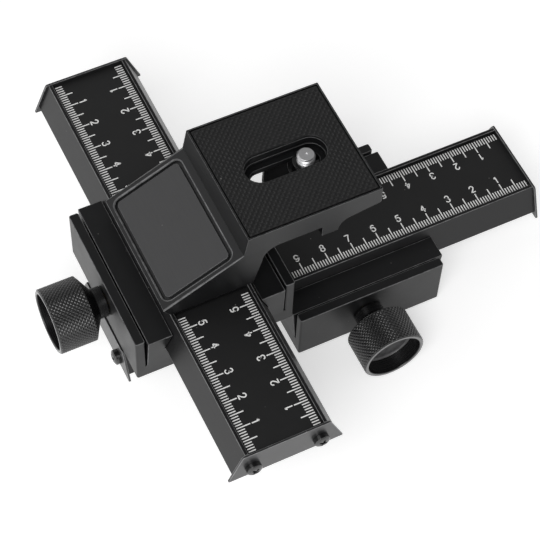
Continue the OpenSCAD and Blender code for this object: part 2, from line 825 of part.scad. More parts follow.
// Room for the thumb wheel between the front and back walls
module wheel_hollow() {
  left = foot_right - seat_gap;
  right = platform_right + 2 * plan_round + over;
  difference() {
    along_rail(bracket_l - 2 * wall) polygon([
      [left, lip_h - over], [right, lip_h - over], [right, plate_under], [left, plate_under]
    ]);
    translate([0, -slot_boss_w / 2, slot_under])
      cube([slot_right + (recess_slot_w + wall) / 2, slot_boss_w, plate_under - slot_under + over]);
    translate([right - over - 2 * plan_round - wall, -bracket_l / 2, rib_right_z])
      cube([wall + over + 2 * plan_round, bracket_l, plate_under - rib_right_z + over]);
  }
}

module slot_cuts() {
  translate([0, 0, liner_z]) long_hole(slot_left, slot_right, recess_slot_w, platform_z);
  translate([0, 0, ledge_in_slot])
    long_hole(slot_left, slot_right, recess_slot_w - 2 * liner_step, platform_z);
  translate([0, 0, slot_under - over]) long_hole(slot_left, slot_right, screw_slot_w, platform_z);
}

// Puts a piece on the cover's slope: x runs up the slope from its low edge, z stands off it
module on_cover() {
  translate([-cover_low_x, 0, cover_low_z]) rotate([0, -cover_angle, 0]) children();
}

module panel_shape(grow, h) {
  translate([panel_place + panel_w / 2, 0, 0])
    slab(panel_w + 2 * grow, panel_l + 2 * grow, h, panel_round + grow);
}

module upper_bracket() upper_moving() translate([0, bracket_y, label_z]) children();

module camera_bracket() {
  pad_w = platform_right - platform_left - 2 * rim_w;
  color(casting_black) upper_bracket() difference() {
    union() {
      difference() {
        bracket_block();
        cover_hollow();
        wheel_hollow();
      }
      intersection() {
        bracket_block();
        for (p = bracket_screw_places)
          translate([p[0], p[1], lip_h]) cylinder(r = boss_r, h = bracket_screw_bite);
      }
    }
    slot_cuts();
    translate([platform_left + rim_w + pad_w / 2, 0, platform_z - pad_t])
      slab(pad_w, bracket_l - 2 * rim_w, pad_t + over, plan_round / 2);
    on_cover() translate([0, 0, -panel_sunk]) panel_shape(panel_gap, panel_sunk + over);
    for (p = bracket_screw_places)
      translate([p[0], p[1], lip_h - over])
        cylinder(r = bracket_screw_r + seat_gap, h = bracket_screw_bite + over - wall / 2);
  }
}

module bracket_screws() {
  seat = rail_bottom + bracket_screw_sunk;
  reach = rail_top + bracket_screw_bite - wall / 2 - seat_gap - seat;
  color(screw_black) upper_moving()
    for (p = bracket_screw_places_in_rail) translate([p[0], p[1], seat])
      mirror([0, 0, 1]) cap_screw(bracket_screw_r, reach, bracket_cap_r, bracket_cap_h);
}

module cover_panel() {
  color(plate_black) upper_bracket()
    on_cover() translate([0, 0, -panel_sunk]) panel_shape(0, panel_t);
}

module platform_pad() {
  pad_w = platform_right - platform_left - 2 * rim_w - 2 * pad_gap;
  color(pad_black) upper_bracket() difference() {
    translate([(platform_left + platform_right) / 2, 0, platform_z - pad_t])
      slab(pad_w, bracket_l - 2 * rim_w - 2 * pad_gap, pad_t, plan_round / 2);
    translate([0, 0, platform_z - pad_t - over])
      long_hole(slot_left, slot_right, recess_slot_w, pad_t + 2 * over);
  }
}

module on_stud() upper_bracket() translate([stud_x, 0, 0]) children();

// Washer under the platform, which slides along the slot with the screw
module screw_washer() {
  color(screw_black) on_stud() translate([0, 0, slot_under - pad_slot_gap - washer_t]) difference() {
    cylinder(r = washer_r, h = washer_t);
    translate([0, 0, -over]) cylinder(r = stud_r + run_gap, h = washer_t + 2 * over);
  }
}

// Spring clip in the screw's groove, which hangs the screw on the ledge of the slot
module screw_clip() {
  color(knob_black) on_stud() translate([0, 0, ledge_in_slot + pad_slot_gap]) difference() {
    cylinder(r = screw_clip_r, h = screw_clip_t);
    translate([0, 0, -over]) cylinder(r = shank_cut_r + run_gap, h = screw_clip_t + 2 * over);
    translate([0, -clip_gap_w / 2, -over])
      cube([screw_clip_r + over, clip_gap_w, screw_clip_t + 2 * over]);
  }
}

module camera_screw() {
  groove = ledge_in_slot + pad_slot_gap;
  color(steel) on_stud() rotate_extrude($fn = 96) polygon([
    [0, wheel_top - wheel_t], [wheel_r - wheel_edge, wheel_top - wheel_t],
    [wheel_r, wheel_top - wheel_t + wheel_edge], [wheel_r, wheel_top - wheel_edge],
    [wheel_r - wheel_edge, wheel_top], [hub_r, wheel_top], [hub_r, hub_top],
    [stud_r, hub_top], [stud_r, groove - run_gap], [shank_cut_r, groove - run_gap],
    [shank_cut_r, groove + screw_clip_t + run_gap], [stud_r, groove + screw_clip_t + run_gap],
    [stud_r, stud_top - stud_edge], [stud_r - stud_edge, stud_top], [0, stud_top]
  ]);
}

base_carriage();
tripod_insert_small();
tripod_insert_large();
lower_bushes();
lower_gib();
lower_drag_screws();
lower_pinion();
lower_knob();
lower_knob_grub();
lower_shaft_clip();
lower_rail();
lower_scale();
lower_rack();
lower_rack_screws();
lower_end_plate_left();
lower_end_plate_right();
lower_end_screws();
upper_carriage();
carriage_screws();
upper_bushes();
upper_gib();
upper_drag_screws();
upper_pinion();
upper_knob();
upper_knob_grub();
upper_shaft_clip();
upper_rail();
upper_scale_near();
upper_scale_far();
upper_rack();
upper_rack_screws();
upper_end_plate_near();
upper_end_plate_far();
upper_end_screws();
camera_bracket();
bracket_screws();
cover_panel();
platform_pad();
screw_washer();
screw_clip();
camera_screw();
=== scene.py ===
# Four-way macro focusing rail: two rack and pinion stages crossed at a right angle, with a
# camera bracket on the upper one. Millimetres become metres by mm. The sections follow the
# rail as it is put together, from the castings up to the camera screw.
import json
import math
import bmesh
import bpy
import numpy as np
from mathutils import Matrix

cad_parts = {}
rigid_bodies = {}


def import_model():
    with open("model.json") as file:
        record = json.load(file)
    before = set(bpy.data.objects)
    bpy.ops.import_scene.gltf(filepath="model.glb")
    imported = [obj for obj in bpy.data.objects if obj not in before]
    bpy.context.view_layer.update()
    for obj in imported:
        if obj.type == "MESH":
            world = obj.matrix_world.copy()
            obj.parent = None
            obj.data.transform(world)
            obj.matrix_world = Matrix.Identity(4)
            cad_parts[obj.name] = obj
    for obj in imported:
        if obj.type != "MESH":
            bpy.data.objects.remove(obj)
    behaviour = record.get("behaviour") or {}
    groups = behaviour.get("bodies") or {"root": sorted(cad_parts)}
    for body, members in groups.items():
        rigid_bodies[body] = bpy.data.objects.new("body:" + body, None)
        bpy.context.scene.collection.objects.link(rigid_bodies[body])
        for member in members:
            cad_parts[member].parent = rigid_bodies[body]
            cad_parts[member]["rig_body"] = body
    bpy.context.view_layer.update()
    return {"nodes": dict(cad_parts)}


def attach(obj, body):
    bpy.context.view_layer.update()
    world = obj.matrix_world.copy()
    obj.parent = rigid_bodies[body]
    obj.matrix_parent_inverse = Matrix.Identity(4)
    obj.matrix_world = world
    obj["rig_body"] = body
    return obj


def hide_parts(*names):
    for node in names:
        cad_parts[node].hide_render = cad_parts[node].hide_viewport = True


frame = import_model()
cad = frame["nodes"]
mm = 0.001


# ------------------------------------------------------------------ Carriage castings
# Two aluminium castings, milled where a rail slides in them and then coated satin black.
# The lower one stands on the tripod. The upper one is screwed across the lower rail's left
# end. Each has a thin strip along both sides, parted from its jaws by a narrow slit.
def add(tree, kind, settings=(), **inputs):
    """One shader node. A value that is a socket is linked to the input of that name, and
    any other value is set on it. Underscores in a name stand for spaces, and i with a
    number means the input at that place."""
    node = tree.nodes.new("ShaderNode" + kind)
    for key, value in dict(settings).items():
        setattr(node, key, value)
    for key, value in inputs.items():
        socket = node.inputs[int(key[1:]) if key[0] == "i" and key[1:].isdigit()
                             else key.replace("_", " ")]
        if isinstance(value, bpy.types.NodeSocket):
            tree.links.new(value, socket)
        else:
            socket.default_value = value
    return node


def calc(tree, operation, *values, clamp=False):
    """Result of one arithmetic node on sockets or numbers."""
    inputs = {f"i{n}": value for n, value in enumerate(values)}
    return add(tree, "Math", {"operation": operation, "use_clamp": clamp}, **inputs).outputs[0]


def ramp(tree, value, low, high, out_low=0.0, out_high=1.0):
    """Value carried from the span low to high onto the span out_low to out_high, smoothly."""
    return add(tree, "MapRange", {"interpolation_type": "SMOOTHSTEP"}, Value=value,
               From_Min=low, From_Max=high, To_Min=out_low, To_Max=out_high).outputs[0]


def mixed(tree, share, first, second):
    """Colour first turned into colour second by a share from 0 to 1."""
    return add(tree, "Mix", {"data_type": "RGBA"}, i0=share, i6=first, i7=second).outputs[2]


def effect(name, **own):
    """Empty shader group for one effect. Every effect takes a colour, a roughness and a
    height in millimetres, changes them by its own named values, and gives them back."""
    tree = bpy.data.node_groups.new(name, "ShaderNodeTree")
    shared = {"Colour": (0.0, 0.0, 0.0, 1.0), "Roughness": 0.4, "Height": 0.0}

    def new_socket(label, value, in_out):
        kind = "Float" if isinstance(value, float) else "Color" if len(value) == 4 else "Vector"
        return tree.interface.new_socket(
            label.replace("_", " "), in_out=in_out, socket_type="NodeSocket" + kind)

    for label, value in {**shared, **own}.items():
        new_socket(label, value, "INPUT").default_value = value
    for label, value in shared.items():
        new_socket(label, value, "OUTPUT")
    given = tree.nodes.new("NodeGroupInput").outputs
    taken = tree.nodes.new("NodeGroupOutput").inputs
    place = add(tree, "TexCoord").outputs["Object"]
    return tree, given, taken, place


def pass_on(tree, taken, colour, roughness, height):
    """Joins the three results of an effect to its outputs."""
    for label, value in (("Colour", colour), ("Roughness", roughness), ("Height", height)):
        tree.links.new(value, taken[label])


# Skin of a coated or moulded surface: fine grains as wide as Grain, and cloudy patches of
# gloss 25 times as wide
skin, given, taken, place = effect("skin", Grain=0.4, Depth=0.004, Shade=0.2, Gloss=0.08)
fine = add(skin, "TexNoise", Vector=place, Detail=3.0, Roughness=0.6,
           Scale=calc(skin, "DIVIDE", 1 / mm, given["Grain"])).outputs[0]
wide = add(skin, "TexNoise", Vector=place, Detail=4.0, Roughness=0.55,
           Scale=calc(skin, "DIVIDE", 1 / (25 * mm), given["Grain"])).outputs[0]
speckle = calc(skin, "ADD", calc(skin, "MULTIPLY", fine, 0.6),
               calc(skin, "MULTIPLY", wide, 0.4))
shade = calc(skin, "MULTIPLY", calc(skin, "SUBTRACT", speckle, 0.5), given["Shade"])
shade = calc(skin, "MULTIPLY_ADD", shade, 2.0, 1.0)
pass_on(
    skin, taken,
    add(skin, "VectorMath", {"operation": "SCALE"},
        Vector=given["Colour"], Scale=shade).outputs[0],
    calc(skin, "MULTIPLY_ADD", calc(skin, "SUBTRACT", wide, 0.5), given["Gloss"],
         given["Roughness"]),
    calc(skin, "MULTIPLY_ADD", fine, given["Depth"], given["Height"]))

# Edge wear and painted highlight: the eased edges are painted lighter in broken stretches,
# partly for a coat rubbed thin there and partly as a painted highlight for the light the
# rounded edges catch. Bare is that lighter colour.
edge_wear_and_highlight, given, taken, place = effect(
    "edge_wear_and_highlight", Bare=(0.1, 0.1, 0.1, 1.0), Amount=0.5, Bare_Roughness=0.35)
eased = add(edge_wear_and_highlight, "Attribute", {"attribute_name": "edge"}).outputs["Fac"]
broken = add(edge_wear_and_highlight, "TexNoise", Vector=place, Scale=0.35 / mm, Detail=5.0,
             Roughness=0.65).outputs[0]
wear_and_highlight_share = calc(edge_wear_and_highlight, "MULTIPLY", calc(edge_wear_and_highlight, "MULTIPLY", eased, given["Amount"]),
              ramp(edge_wear_and_highlight, broken, 0.35, 0.6, 0.5, 1.0), clamp=True)
pass_on(
    edge_wear_and_highlight, taken, mixed(edge_wear_and_highlight, wear_and_highlight_share, given["Colour"], given["Bare"]),
    add(edge_wear_and_highlight, "Mix", i0=wear_and_highlight_share, i2=given["Roughness"],
        i3=given["Bare Roughness"]).outputs[0],
    given["Height"])

# Dust: a few pale specks that lie on the surface, none of them wider than a grain of sand
dust, given, taken, place = effect("dust", Speck=0.35, Amount=0.5)
cells = add(dust, "TexVoronoi", {"feature": "F1"}, Vector=place,
            Scale=calc(dust, "DIVIDE", 0.12 / mm, given["Speck"]))
chance = add(dust, "SeparateColor", Color=cells.outputs["Color"]).outputs[0]
chosen = ramp(dust, chance, 0.93, 0.95)
speck = calc(dust, "MULTIPLY", ramp(dust, cells.outputs["Distance"], 0.05, 0.09, 1.0, 0.0),
             calc(dust, "MULTIPLY", chosen, given["Amount"]), clamp=True)
pass_on(
    dust, taken, mixed(dust, speck, given["Colour"], (0.45, 0.44, 0.42, 1.0)),
    calc(dust, "MULTIPLY_ADD", speck, 0.4, given["Roughness"]),
    calc(dust, "MULTIPLY_ADD", speck, 0.01, given["Height"]))


def finish(name, colour, roughness, effects, ior=1.5, metallic=0.0):
    """Material of one finish. Colour and roughness run through the effects in turn, each
    given with its own values, and their height raises the surface through one Bump."""
    material = bpy.data.materials.new(name)
    material.use_nodes = True
    tree = material.node_tree
    shader = tree.nodes["Principled BSDF"]
    shader.inputs["IOR"].default_value = ior
    shader.inputs["Metallic"].default_value = metallic
    carried = {"Colour": (*colour, 1.0), "Roughness": roughness, "Height": 0.0}
    for group, values in effects:
        placed = add(tree, "Group", {"node_tree": group}, **carried, **values)
        carried = {label: placed.outputs[label] for label in carried}
    tree.links.new(carried["Colour"], shader.inputs["Base Color"])
    tree.links.new(carried["Roughness"], shader.inputs["Roughness"])
    bump = add(tree, "Bump", Height=carried["Height"], Distance=mm)
    tree.links.new(bump.outputs[0], shader.inputs["Normal"])
    return material


def eased_copy(name, material, rim, strips=2, wide_rim=0.0, wide_where=None):
    """Copy of a CAD solid with eased edges, which replaces it. Its doubles are merged and
    the faces of one plane joined. An outer edge where the faces turn by more than 30
    degrees becomes an arc of strips, rim wide, or wide_rim where wide_where says so of the
    edge's two ends. The strips carry the attribute edge, which the edge wear and painted
    highlight reads to paint them lighter. Inner edges stay sharp."""
    sharp, flat, same_point = math.radians(30.0), math.radians(0.6), 2e-5
    node = cad[name]
    mesh = node.data.copy()
    mesh.name = name + "_eased"
    shape = bmesh.new()
    shape.from_mesh(mesh)
    bmesh.ops.remove_doubles(shape, verts=shape.verts, dist=same_point)
    bmesh.ops.dissolve_limit(shape, angle_limit=flat, verts=shape.verts, edges=shape.edges,
                             use_dissolve_boundaries=False)
    eased = shape.faces.layers.float.new("edge")
    for width, chosen in ((wide_rim, wide_where), (rim, None)):
        if not width:
            continue
        corners = [
            corner for corner in shape.edges
            if corner.is_convex and corner.calc_face_angle(0.0) > sharp
            and not any(face[eased] for face in corner.link_faces)
            and (chosen is None or all(chosen(end.co / mm) for end in corner.verts))]
        made = bmesh.ops.bevel(
            shape, geom=corners, offset=width * mm, offset_type="OFFSET", segments=strips,
            profile=0.5, affect="EDGES", clamp_overlap=False, loop_slide=True)
        for face in made["faces"]:
            face[eased] = 1.0
    for face in shape.faces:
        face.smooth = True
    for edge in shape.edges:
        edge.smooth = edge.is_convex or edge.calc_face_angle(0.0) < sharp
    shape.to_mesh(mesh)
    shape.free()
    mesh.materials.clear()
    mesh.materials.append(material)
    piece = bpy.data.objects.new(name + "_piece", mesh)
    bpy.context.scene.collection.objects.link(piece)
    shading = piece.modifiers.new("even_shading", "WEIGHTED_NORMAL")
    shading.keep_sharp = True
    shading.weight = 80
    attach(piece, node["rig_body"])
    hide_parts(name)


# Its eased edges are painted lighter, partly as wear and partly as a painted highlight for the
# light they catch.
black_coat = finish("casting", (0.0055, 0.0057, 0.0062), 0.42, [
    (skin, {"Grain": 0.35, "Depth": 0.006, "Shade": 0.3, "Gloss": 0.12}),
    (edge_wear_and_highlight, {"Bare": (0.17, 0.17, 0.173, 1.0), "Amount": 0.8, "Bare_Roughness": 0.4}),
    (dust, {"Speck": 0.35, "Amount": 0.2})], ior=1.45)
for name in ("base_carriage", "upper_carriage"):
    eased_copy(name, black_coat, 0.25)


# ------------------------------------------------------------------ Tripod sockets
# Two threaded steel bushes, a quarter inch and three eighths inch, which are pressed up
# into the base casting. Each has a flange that bears on the casting's underside.
def surface(name, sheets, material, body, replaced=(), crease=35.0, marked=None):
    """Piece made of sheets of points. A sheet is an array of rows by columns by x, y, z in
    millimetres, joined into four-sided faces along both ways. Points that coincide are
    merged, so poles and seams are closed, and the faces are turned to the outside: the
    sum of each face's volume towards the middle has to be above nought. marked, if given,
    says of the faces' middles in millimetres which of them carry the attribute edge."""
    points, faces, count = [], [], 0
    for sheet in sheets:
        rows, columns = sheet.shape[:2]
        number = np.arange(rows * columns).reshape(rows, columns) + count
        faces.append(np.stack([number[:-1, :-1], number[1:, :-1], number[1:, 1:],
                               number[:-1, 1:]], axis=-1).reshape(-1, 4))
        points.append(sheet.reshape(-1, 3))
        count += rows * columns
    points, faces = np.concatenate(points) * mm, np.concatenate(faces)
    a, b, c, d = (points[faces[:, n]] for n in range(4))
    middle = points.mean(axis=0)
    volume = (np.cross(b - a, c - a) * (a - middle)).sum()
    volume += (np.cross(c - a, d - a) * (a - middle)).sum()
    if volume < 0:
        faces = faces[:, ::-1]
    mesh = bpy.data.meshes.new(name)
    mesh.from_pydata(points, [], faces.tolist())
    shape = bmesh.new()
    shape.from_mesh(mesh)
    bmesh.ops.remove_doubles(shape, verts=shape.verts, dist=2e-7)
    shape.to_mesh(mesh)
    shape.free()
    mesh.polygons.foreach_set("use_smooth", np.ones(len(mesh.polygons), bool))
    mesh.set_sharp_from_angle(angle=math.radians(crease))
    if marked:
        middles = np.empty(3 * len(mesh.polygons))
        mesh.polygons.foreach_get("center", middles)
        chosen = marked(middles.reshape(-1, 3) / mm)
        mesh.attributes.new("edge", "FLOAT", "FACE").data.foreach_set(
            "value", chosen.astype(np.float32))
    mesh.materials.append(material)
    piece = bpy.data.objects.new(name, mesh)
    bpy.context.scene.collection.objects.link(piece)
    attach(piece, body)
    if replaced:
        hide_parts(*replaced)
    return piece


def rounded(corners, radius, steps=4):
    """Outline with each inner corner replaced by an arc: a point of the arc is the corner
    plus two shares of the ways to its neighbours, (1-t) squared and t squared."""
    corners = [np.array(corner, float) for corner in corners]
    outline = [corners[0]]
    for before, corner, after in zip(corners, corners[1:], corners[2:]):
        to_before, to_after = before - corner, after - corner
        reach = min(radius, np.linalg.norm(to_before) / 2.01, np.linalg.norm(to_after) / 2.01)
        to_before *= reach / max(np.linalg.norm(to_before), 1e-9)
        to_after *= reach / max(np.linalg.norm(to_after), 1e-9)
        t = np.linspace(0, 1, steps + 1)[:, None]
        outline.extend(corner + (1 - t) ** 2 * to_before + t ** 2 * to_after)
    outline.append(corners[-1])
    return np.array(outline)


def turned(outline, columns, origin, axis, depth=None):
    """Sheet of a turned piece. The outline has rows of distance along the axis and radius.
    A point stands at that distance from the origin along the axis and at that radius round
    it. depth, if given, is a function of along, turn and radius that gives the radius."""
    along, radius = outline[:, :1], outline[:, 1:]
    turn = np.linspace(0, 2 * math.pi, columns + 1)[None, :]
    axis = np.array(axis, float)
    side = np.array([0.0, 0.0, 1.0]) if abs(axis[2]) < 0.5 else np.array([1.0, 0.0, 0.0])
    other = np.cross(axis, side)
    if depth is not None:
        radius = depth(along, turn, radius)
    radius, along, turn = np.broadcast_arrays(radius, along, turn)
    return (np.array(origin, float) + along[..., None] * axis
            + (radius * np.cos(turn))[..., None] * side
            + (radius * np.sin(turn))[..., None] * other)


# Turning marks: fine rings round the line through Centre along Axis
turning, given, taken, place = effect(
    "turning", Centre=(0.0, 0.0, 0.0), Axis=(0.0, 0.0, 1.0), Pitch=0.25, Groove=0.002)
offset = add(turning, "VectorMath", {"operation": "SUBTRACT"}, i0=place, i1=given["Centre"])
swept = add(turning, "VectorMath", {"operation": "CROSS_PRODUCT"},
            i0=offset.outputs[0], i1=given["Axis"])
away = add(turning, "VectorMath", {"operation": "LENGTH"}, i0=swept.outputs[0]).outputs["Value"]
along = add(turning, "VectorMath", {"operation": "DOT_PRODUCT"},
            i0=offset.outputs[0], i1=given["Axis"]).outputs["Value"]
feed = calc(turning, "ADD", away, along)
rings = add(turning, "TexNoise", {"noise_dimensions": "1D"}, Detail=2.0, Scale=1.0,
            W=calc(turning, "DIVIDE", feed, calc(turning, "MULTIPLY", given["Pitch"], mm))
            ).outputs[0]
pass_on(
    turning, taken, given["Colour"],
    calc(turning, "MULTIPLY_ADD", calc(turning, "SUBTRACT", rings, 0.5), 0.16,
         given["Roughness"]),
    calc(turning, "MULTIPLY_ADD", rings, given["Groove"], given["Height"]))

socket_steel = finish("socket_steel", (0.46, 0.45, 0.43), 0.3, [
    (turning, {"Axis": (0.0, 0.0, 1.0), "Pitch": 0.3, "Groove": 0.003}),
    (skin, {"Grain": 0.5, "Depth": 0.001, "Shade": 0.15, "Gloss": 0.1})], metallic=1.0)


def tripod_socket(name, x, thread_r, pitch):
    """Flanged bush with a thread cut inside: the bore's radius grows by the thread's depth
    times a triangle wave of height over pitch less turn over a full turn."""
    length, flange_h = 9.0, 1.0
    wall_r, flange_r = thread_r + 1.4, thread_r + 2.4
    thread_low, thread_high, thread_depth = 0.6, length - 0.1, 0.55 * pitch
    rows = np.linspace(thread_low, thread_high, int((thread_high - thread_low) / pitch * 10))
    bore = np.stack([rows, np.full(rows.size, thread_r)], axis=1)
    outer = rounded([(thread_high, thread_r), (length, thread_r + 0.15), (length, wall_r),
                     (flange_h, wall_r), (flange_h, flange_r), (0.0, flange_r),
                     (0.0, thread_r + 0.2), (thread_low, thread_r)], 0.12)
    outline = np.concatenate([bore, outer[1:]])

    def threaded(z, turn, radius):
        """Radius at a height and turn, grown by the thread's depth inside the bore."""
        phase = (z / pitch - turn / (2 * math.pi)) % 1.0
        in_bore = (z > thread_low) & (z < thread_high) & (radius <= thread_r + 1e-6)
        return radius + thread_depth * np.where(in_bore, 1 - np.abs(2 * phase - 1), 0.0)

    sheet = turned(outline, 64, (x, 0.0, 0.0), (0.0, 0.0, 1.0), threaded)
    surface(name + "_piece", [sheet], socket_steel, "base", (name,))


tripod_socket("tripod_insert_small", -14.0, 3.175, 1.27)
tripod_socket("tripod_insert_large", 14.0, 4.7625, 1.5875)


# ------------------------------------------------------------------ Drives inside the castings
# In each carriage a ten tooth brass pinion and its shaft, cut from one bar, run in two brass
# bushes, and a spring clip holds them in. The pinion drives a steel rack that is screwed
# under the rail. A nylon gib pushed by two set screws takes up the rail's play.
gear_brass = finish("gear_brass", (0.66, 0.46, 0.2), 0.28, [
    (skin, {"Grain": 0.6, "Depth": 0.002, "Shade": 0.2, "Gloss": 0.12}),
    (edge_wear_and_highlight, {"Bare": (0.85, 0.68, 0.38, 1.0), "Amount": 0.5, "Bare_Roughness": 0.2})],
    metallic=1.0)
small_steel = finish("small_steel", (0.5, 0.5, 0.5), 0.3, [
    (skin, {"Grain": 0.5, "Depth": 0.002, "Shade": 0.2, "Gloss": 0.14}),
    (edge_wear_and_highlight, {"Bare": (0.75, 0.75, 0.75, 1.0), "Amount": 0.5, "Bare_Roughness": 0.2})],
    metallic=1.0)
slide_nylon = finish("slide_nylon", (0.7, 0.67, 0.58), 0.5, [
    (skin, {"Grain": 0.5, "Depth": 0.004, "Shade": 0.08, "Gloss": 0.1}),
    (dust, {"Speck": 0.3, "Amount": 0.2})])
for stage in ("lower", "upper"):
    for part, slot_name, material, rim, strips in (
            ("bushes", "brass", gear_brass, 0.15, 2), ("pinion", "brass", gear_brass, 0.05, 1),
            ("shaft_clip", "steel", small_steel, 0.08, 1),
            ("gib", "slide_plastic", slide_nylon, 0.15, 2),
            ("drag_screws", "steel", small_steel, 0.1, 1),
            ("rack", "steel", small_steel, 0.05, 1),
            ("rack_screws", "steel", small_steel, 0.08, 1)):
        eased_copy(f"{stage}_{part}", material, rim, strips)


# ------------------------------------------------------------------ Rails
# Two aluminium bars drawn to a trapezoid with a shallow lipped tray along the top for the
# scale, sawn to length and black anodised. The drawing leaves faint lines along the bar.
drawn, given, taken, place = effect("drawn", Along=(0.0, 0.0, 0.0), Line=0.3, Groove=0.002)
squeezed = add(drawn, "VectorMath", {"operation": "MULTIPLY"}, i0=place, i1=given["Along"])
lines = add(drawn, "TexNoise", Vector=squeezed.outputs[0], Detail=4.0, Roughness=0.7,
            Scale=calc(drawn, "DIVIDE", 1 / mm, given["Line"])).outputs[0]
tone = calc(drawn, "MULTIPLY_ADD", calc(drawn, "SUBTRACT", lines, 0.5), 0.5, 1.0)
pass_on(
    drawn, taken,
    add(drawn, "VectorMath", {"operation": "SCALE"},
        Vector=given["Colour"], Scale=tone).outputs[0],
    calc(drawn, "MULTIPLY_ADD", calc(drawn, "SUBTRACT", lines, 0.5), 0.2,
         given["Roughness"]),
    calc(drawn, "MULTIPLY_ADD", lines, given["Groove"], given["Height"]))

# The rails' eased edges are painted lighter, partly as wear and partly as a painted highlight
# along the lips.
for name, along in (("lower_rail", (0.012, 1.0, 1.0)), ("upper_rail", (1.0, 0.012, 1.0))):
    anodised = finish(name + "_anodised", (0.0074, 0.0074, 0.0079), 0.36, [
        (drawn, {"Along": along, "Line": 0.3, "Groove": 0.002}),
        (skin, {"Grain": 0.25, "Depth": 0.002, "Shade": 0.15, "Gloss": 0.06}),
        (edge_wear_and_highlight, {"Bare": (0.24, 0.24, 0.243, 1.0), "Amount": 0.8, "Bare_Roughness": 0.35}),
        (dust, {"Speck": 0.3, "Amount": 0.3})], ior=1.45)
    eased_copy(name, anodised, 0.15)


# ------------------------------------------------------------------ Printed scales
# Thin black strips glued into the trays. A millimetre scale with a figure at every
# centimetre is screen printed in white along both of a strip's long edges, to be read from
# that side, so the two rows of figures stand head to head.
print_black = finish("scale_black", (0.0055, 0.0055, 0.0058), 0.5, [
    (skin, {"Grain": 0.2, "Depth": 0.002, "Shade": 0.15, "Gloss": 0.08}),
    (edge_wear_and_highlight, {"Bare": (0.06, 0.06, 0.06, 1.0), "Amount": 0.3, "Bare_Roughness": 0.5}),
    (dust, {"Speck": 0.3, "Amount": 0.4})])
print_white = finish("scale_white", (0.88, 0.88, 0.87), 0.5, [
    (skin, {"Grain": 0.15, "Depth": 0.001, "Shade": 0.06, "Gloss": 0.05})])
ink, row_line = 0.03, 12.575  # ink's height, and the ticks' outer line from the middle
tick_width, tick_short, tick_long = 0.4, 2.55, 4.9
figure_stroke, figure_tall, figure_wide = 0.43, 3.0, 1.95


def arc(x, y, across, up, start, end, steps=14):
    """Points on an ellipse round x, y from one angle to another, in degrees."""
    t = np.radians(np.linspace(start, end, steps))
    return [(x + across * math.cos(a), y + up * math.sin(a)) for a in t]


# Middle lines of the figures' strokes, in a box from -1 to 1 both ways
figures = {
    1: [[(-0.5, 0.52), (0.1, 1.0), (0.1, -1.0)]],
    2: [arc(0, 0.42, 0.92, 0.58, 172, -22) + [(0.35, -0.28), (-0.95, -1.0), (1.0, -1.0)]],
    3: [arc(-0.02, 0.51, 0.84, 0.49, 160, -80) + arc(0, -0.47, 0.95, 0.53, 82, -162)],
    4: [[(0.42, -1.0), (0.42, 1.0), (-1.0, -0.38), (1.0, -0.38)]],
    5: [[(0.78, 1.0), (-0.58, 1.0), (-0.8, 0.02)] + arc(0, -0.34, 0.95, 0.66, 138, -158)],
    6: [arc(0.12, 0.3, 0.85, 0.7, 38, 100, 8) + arc(0, 0.0, 0.95, 0.85, 110, 180, 8)
        + arc(0, -0.38, 0.95, 0.62, 180, 540, 24)],
    7: [[(-0.95, 1.0), (0.95, 1.0), (0.1, -0.1), (-0.3, -1.0)]],
    8: [arc(0, 0.5, 0.82, 0.5, -90, 270, 22), arc(0, -0.46, 0.95, 0.54, 90, 450, 22)]}
figures[9] = [[(-x, -y) for x, y in line] for line in figures[6]]


def ribbon(line, width, low, high, bend=0.35):
    """Flat stroke of a figure, as a closed sheet. Its middle line is the drawn line with
    corners eased; at each point the two sides stand half the width off along the line's
    normal, and the width dies away at the ends along a half circle."""
    points = rounded(line, bend, 5)
    gaps = np.linalg.norm(np.diff(points, axis=0), axis=1)
    points = points[np.concatenate([[True], gaps > 1e-4])]
    way = np.gradient(points, axis=0)
    way /= np.linalg.norm(way, axis=1)[:, None]
    turn = np.linspace(0, math.pi / 2, 6)[:-1, None]
    past, share = width / 2 * np.cos(turn), np.sin(turn)
    middle = np.concatenate([points[0] - way[0] * past, points,
                             (points[-1] + way[-1] * past)[::-1]])
    half = width / 2 * np.concatenate([share, np.ones((len(points), 1)), share[::-1]])
    facing = np.concatenate([np.repeat(way[:1], len(turn), 0), way,
                             np.repeat(way[-1:], len(turn), 0)])
    normal = np.stack([-facing[:, 1], facing[:, 0]], axis=1) * half
    left, right = middle + normal, middle - normal
    corners = [(left, low), (left, high), (right, high), (right, low), (left, low)]
    return np.stack([np.column_stack([side, np.full(len(side), z)]) for side, z in corners])


